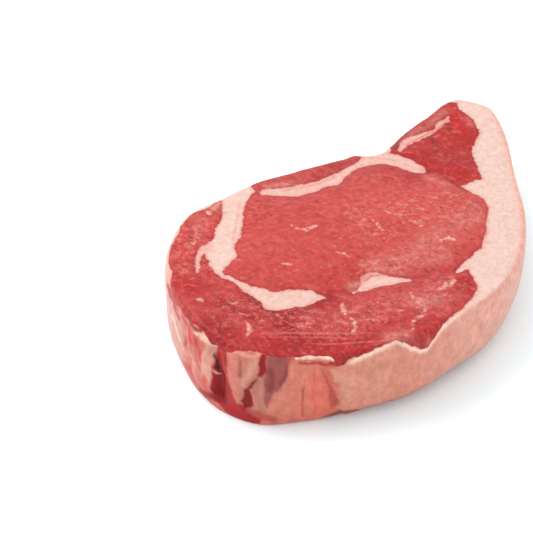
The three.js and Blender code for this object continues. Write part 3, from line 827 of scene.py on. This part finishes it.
# Each ramp: the value where it starts and where it ends, then what it goes from and to if not 0 and 1.
RAMPS = {
    "fat": (0.4, -0.4), "thin_fat": (-1.8, 0.2), "beside_fat": (1.6, 0.2), "vein": (0.5, -0.6),
    "mark": (0.35, -0.15), "pale_fibre": (0.0, 0.6, 0.0, 0.65), "deep_fibre": (0.0, -0.6, 0.0, 0.75),
    "thread": (0.03, 0.0), "thread_gaps": (0.48, 0.62), "thread_plenty": (0.0, 0.8), "fleck": (0.56, 0.7),
    "fleck_plenty": (-0.2, 0.9, 0.1, 0.7), "blotch": (0.52, 0.72, 0.0, 0.55), "blotch_plenty": (0.1, 0.9),
    "vein_gaps": (0.38, 0.56, 0.15, 0.9), "paleness": (0.1, 0.35), "lighter_fat": (0.5, 0.85, 0.0, 0.3),
    "deeper_fat": (0.5, 0.15, 0.0, 0.4), "shine": (0.3, 0.7, 0.36, 0.5),
}
# How far each noise pushes an edge, in millimetres.
PUSHES = {"coarse": 2.6, "fine": 1.3, "vein": 2.4, "mark": 0.8}
# How much of each look there is at the most.
SHARES = {
    "bundle": 0.35, "mark": 0.5, "thread": 0.55, "beside_fat": 0.3, "thin_fat": 0.6, "thin_on_wall": 0.5,
}
# The tints that those bring.
LOOKS = {
    "pale_fibre": (234, 128, 120), "deep_fibre": (170, 34, 40), "mark": (232, 132, 126),
    "blotch": (236, 156, 148), "thread": (238, 164, 154), "vein": (243, 180, 168),
    "beside_fat": (160, 28, 36), "thin_fat": (238, 158, 146), "lighter_fat": (252, 226, 214),
    "deeper_fat": (216, 132, 116),
}
FAT_ROUGHNESS = 0.8  # how much the fat's brightness varies from place to place
FAT_DULLNESS = 0.06  # how much rougher the fat's shine is
# How strongly lean and fat stand out in the fine relief, and how deep that is.
BUMPS = {"lean": 0.8, "fat": 0.5, "strength": 0.6, "depth": 0.4 * MM}
# What is the same all over the steak.
SURFACE = {
    "Subsurface Weight": 0.15,
    "Subsurface Radius": (1.0, 0.35, 0.25),
    "Subsurface Scale": 2.5 * MM,
    "Specular IOR Level": 0.16,
    "Coat Weight": 0.03,
    "Coat Roughness": 0.25,
}
MIX_SOCKETS = (0, 6, 7)  # the colour mix's share and its two colours, whose names other sockets share
MIX_RESULT = 2
HEIGHT_SOCKETS = (0, 2, 3)  # the number mix's


class Graph:
    """Adds nodes to a material: values that are sockets are linked, others are set."""

    def __init__(self, name):
        self.material = bpy.data.materials.new(name)
        self.material.use_nodes = True
        self.tree = self.material.node_tree
        self.tree.nodes.clear()

    def wire(self, socket, value):
        if isinstance(value, bpy.types.NodeSocket):
            self.tree.links.new(value, socket)
        else:
            socket.default_value = value

    def add(self, kind, inputs=None, **settings):
        node = self.tree.nodes.new(kind)
        for name, value in settings.items():
            setattr(node, name, value)
        for name, value in (inputs or {}).items():
            self.wire(node.inputs[name], value)
        return node

    def maths(self, operation, *values):
        node = self.add("ShaderNodeMath", dict(enumerate(values)), operation=operation)
        return node.outputs[0]

    def times(self, first, *others):
        for other in others:
            first = self.maths("MULTIPLY", first, other)
        return first

    def centred(self, value):
        return self.maths("SUBTRACT", value, 0.5)

    def map_range(self, value, low, high, to_low=0.0, to_high=1.0):
        inputs = {"Value": value, "From Min": low, "From Max": high, "To Min": to_low, "To Max": to_high}
        return self.add("ShaderNodeMapRange", inputs, interpolation_type="SMOOTHSTEP").outputs[0]

    def ramp(self, value, name):
        return self.map_range(value, *RAMPS[name])

    def mix(self, share, a, b):
        node = self.add("ShaderNodeMix", dict(zip(MIX_SOCKETS, (share, a, b))), data_type="RGBA")
        return node.outputs[MIX_RESULT]

    def paint(self, share, base, look):
        return self.mix(share, base, (*albedo(LOOKS[look]), 1))

    def attribute(self, name, output="Fac"):
        return self.add("ShaderNodeAttribute", attribute_name=name).outputs[output]

    def noise(self, place, name):
        wavelength, detail, roughness, distortion = NOISES[name]
        inputs = {
            "Vector": place, "Scale": 1 / wavelength, "Detail": detail, "Roughness": roughness,
            "Distortion": distortion,
        }
        return self.add("ShaderNodeTexNoise", inputs).outputs[0]

    def scaled(self, vector, factor):
        return self.add("ShaderNodeVectorMath", {0: vector, "Scale": factor}, operation="SCALE").outputs[0]

    def stretched(self, vector, factors):
        return self.add("ShaderNodeVectorMath", {0: vector, 1: factors}, operation="MULTIPLY").outputs[0]

    def turned(self, vector, angle):
        inputs = {"Vector": vector, "Angle": angle}
        return self.add("ShaderNodeVectorRotate", inputs, rotation_type="Z_AXIS").outputs[0]

    def channel(self, colour, index):
        return self.add("ShaderNodeSeparateColor", {0: colour}).outputs[index]


def steak_material():
    g = Graph("raw_beef")
    place = g.scaled(g.add("ShaderNodeTexCoord").outputs["Object"], 1 / MM)
    fibre = g.stretched(place, FIBRE_STRETCH)
    streak = g.stretched(g.turned(place, STREAK_ANGLE), STREAK_STRETCH)

    # Ragged edges: the distances are pushed about by noise before they are cut.
    coarse = g.centred(g.noise(place, "coarse"))
    fine = g.centred(g.noise(place, "fine"))
    ragged = g.maths("ADD", g.times(coarse, PUSHES["coarse"]), g.times(fine, PUSHES["fine"]))
    to_fat = g.maths("ADD", g.attribute("to_fat"), ragged)
    fat = g.ramp(to_fat, "fat")
    to_vein = g.maths("ADD", g.attribute("to_vein"), g.times(fine, PUSHES["vein"]))
    to_mark = g.maths("ADD", g.attribute("to_mark"), g.times(fine, PUSHES["mark"]))

    # Lean: bundles of fibre, each a little lighter or darker, mottled and speckled.
    cells = g.add("ShaderNodeTexVoronoi", {"Vector": fibre, "Scale": 1 / BUNDLE_SIZE}, feature="F1")
    bundle = g.times(g.centred(g.channel(cells.outputs["Color"], 0)), SHARES["bundle"])
    speckle = g.noise(fibre, "speckle")
    mottling = g.noise(streak, "mottling")
    shade = g.maths("ADD", bundle, g.maths("ADD", g.centred(speckle), g.centred(mottling)))
    lean = g.paint(g.ramp(shade, "pale_fibre"), g.attribute("lean_tint", "Color"), "pale_fibre")
    lean = g.paint(g.ramp(shade, "deep_fibre"), lean, "deep_fibre")
    lean = g.paint(g.times(g.ramp(to_mark, "mark"), SHARES["mark"]), lean, "mark")

    # Marbling: short broken threads and flecks, more in some places than in others.
    marbled = g.maths("ADD", g.attribute("marbled"), g.centred(g.noise(place, "plenty")))
    thread = g.ramp(g.maths("ABSOLUTE", g.centred(g.noise(streak, "threads"))), "thread")
    thread_gaps = g.ramp(g.noise(place, "thread_gaps"), "thread_gaps")
    thread = g.times(thread, thread_gaps, g.ramp(marbled, "thread_plenty"))
    fleck = g.times(g.ramp(g.noise(place, "flecks"), "fleck"), g.ramp(marbled, "fleck_plenty"))
    blotch = g.times(g.ramp(g.noise(streak, "blotches"), "blotch"), g.ramp(marbled, "blotch_plenty"))
    vein = g.times(g.ramp(to_vein, "vein"), g.ramp(g.noise(place, "vein_gaps"), "vein_gaps"))
    lean = g.paint(blotch, lean, "blotch")
    lean = g.paint(g.times(g.maths("MAXIMUM", thread, fleck), SHARES["thread"]), lean, "thread")
    lean = g.paint(vein, lean, "vein")
    lean = g.paint(g.times(g.ramp(to_fat, "beside_fat"), SHARES["beside_fat"]), lean, "beside_fat")

    # Fat: pinker where it is thin over the lean, faintly mottled where it is pale.
    pale = g.attribute("fat_tint", "Color")
    on_wall = g.times(g.attribute("on_wall"), SHARES["thin_on_wall"])
    thinness = g.maths("SUBTRACT", SHARES["thin_fat"], on_wall)
    pale = g.paint(g.times(g.ramp(to_fat, "thin_fat"), thinness), pale, "thin_fat")
    paleness = g.ramp(g.channel(pale, 1), "paleness")
    mottle = g.noise(place, "fat_mottle")
    lighter = g.times(paleness, g.ramp(mottle, "lighter_fat"))
    deeper = g.times(paleness, g.ramp(mottle, "deeper_fat"))
    pale = g.paint(deeper, g.paint(lighter, pale, "lighter_fat"), "deeper_fat")

    # Both together, with a fine unevenness of brightness.
    roughness = g.map_range(fat, 0.0, 1.0, g.attribute("roughness"), FAT_ROUGHNESS)
    brightness = g.maths("MULTIPLY_ADD", g.centred(g.noise(place, "grit")), roughness, 1.0)
    colour = g.scaled(g.mix(fat, lean, pale), brightness)

    lean_height = g.times(shade, BUMPS["lean"])
    fat_height = g.times(g.noise(place, "fat_bumps"), BUMPS["fat"])
    heights = dict(zip(HEIGHT_SOCKETS, (fat, lean_height, fat_height)))
    height = g.add("ShaderNodeMix", heights, data_type="FLOAT").outputs[0]
    relief = {"Height": height, "Strength": BUMPS["strength"], "Distance": BUMPS["depth"]}
    looks = {
        "Base Color": colour,
        "Roughness": g.maths("ADD", g.ramp(speckle, "shine"), g.times(fat, FAT_DULLNESS)),
        "Normal": g.add("ShaderNodeBump", relief).outputs[0],
    }
    shader = g.add("ShaderNodeBsdfPrincipled", {**SURFACE, **looks})
    g.add("ShaderNodeOutputMaterial", {"Surface": shader.outputs[0]})
    return g.material


# ---- Floor, light and camera ----

FLOOR_SIDE = 6.0  # metres
FLOOR_SURFACE = {"Base Color": (0.84, 0.94, 0.96, 1), "Roughness": 0.7}
SKY_STRENGTH = 1.23
KEY_LIGHT = {"place": (-0.15, 0.8, 1.1), "size": 0.9, "power": 13.5}  # metres and watts
VIEW_AZIMUTH = -50
VIEW_ELEVATION = 40
LENS = 100
SENSOR = 36
CLIP_END = 20  # metres
PICTURE_SIDE = 533
# The point of the steak, in its outline's frame, that the picture shows at this pixel.
AIM = (-14.3, 5.5, 18)
AIM_PIXEL = (345, 262)
PIXELS_PER_MM = 2.5


def make_floor():
    mesh = bpy.data.meshes.new("floor")
    half = FLOOR_SIDE / 2
    corners = [(-half, -half, 0), (half, -half, 0), (half, half, 0), (-half, half, 0)]
    mesh.from_pydata(corners, [], [(0, 1, 2, 3)])
    floor = bpy.data.objects.new("floor", mesh)
    bpy.context.scene.collection.objects.link(floor)
    g = Graph("floor_white")
    shader = g.add("ShaderNodeBsdfPrincipled", FLOOR_SURFACE)
    g.add("ShaderNodeOutputMaterial", {"Surface": shader.outputs[0]})
    mesh.materials.append(g.material)


def make_light():
    world = bpy.data.worlds.new("studio")
    world.use_nodes = True
    background = world.node_tree.nodes["Background"]
    background.inputs["Color"].default_value = (1, 1, 1, 1)
    background.inputs["Strength"].default_value = SKY_STRENGTH
    bpy.context.scene.world = world
    light = bpy.data.lights.new("key", "AREA")
    light.size = KEY_LIGHT["size"]
    light.energy = KEY_LIGHT["power"]
    lamp = bpy.data.objects.new("key", light)
    lamp.location = KEY_LIGHT["place"]
    lamp.rotation_euler = (-Vector(KEY_LIGHT["place"])).to_track_quat("-Z", "Y").to_euler()
    bpy.context.scene.collection.objects.link(lamp)
    bpy.context.scene.view_settings.view_transform = "Standard"


def make_camera(shift):
    azimuth, elevation = math.radians(VIEW_AZIMUTH), math.radians(VIEW_ELEVATION)
    flat = math.cos(elevation)
    back = Vector((math.sin(azimuth) * flat, -math.cos(azimuth) * flat, math.sin(elevation)))
    right = (-back).cross(Vector((0, 0, 1))).normalized()
    up = right.cross(-back)
    focal = PICTURE_SIDE * LENS / SENSOR
    aside = (AIM_PIXEL[0] - PICTURE_SIDE / 2) / focal
    above = (PICTURE_SIDE / 2 - AIM_PIXEL[1]) / focal
    aim = Vector(AIM) + Vector((*shift, 0))
    data = bpy.data.cameras.new("camera")
    data.lens = LENS
    data.sensor_width = SENSOR
    data.clip_end = CLIP_END
    camera = bpy.data.objects.new("camera", data)
    place = aim - (focal / PIXELS_PER_MM) * (aside * right + above * up - back)
    turn = Matrix((right, up, back)).transposed().to_4x4()
    camera.matrix_world = Matrix.Translation(place * MM) @ turn
    bpy.context.scene.collection.objects.link(camera)
    bpy.context.scene.camera = camera


# ---- The scene ----

steak, layout_shift = make_steak()
steak.data.materials.append(steak_material())
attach(steak, "root")
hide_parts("steak")
make_floor()
make_light()
make_camera(layout_shift)
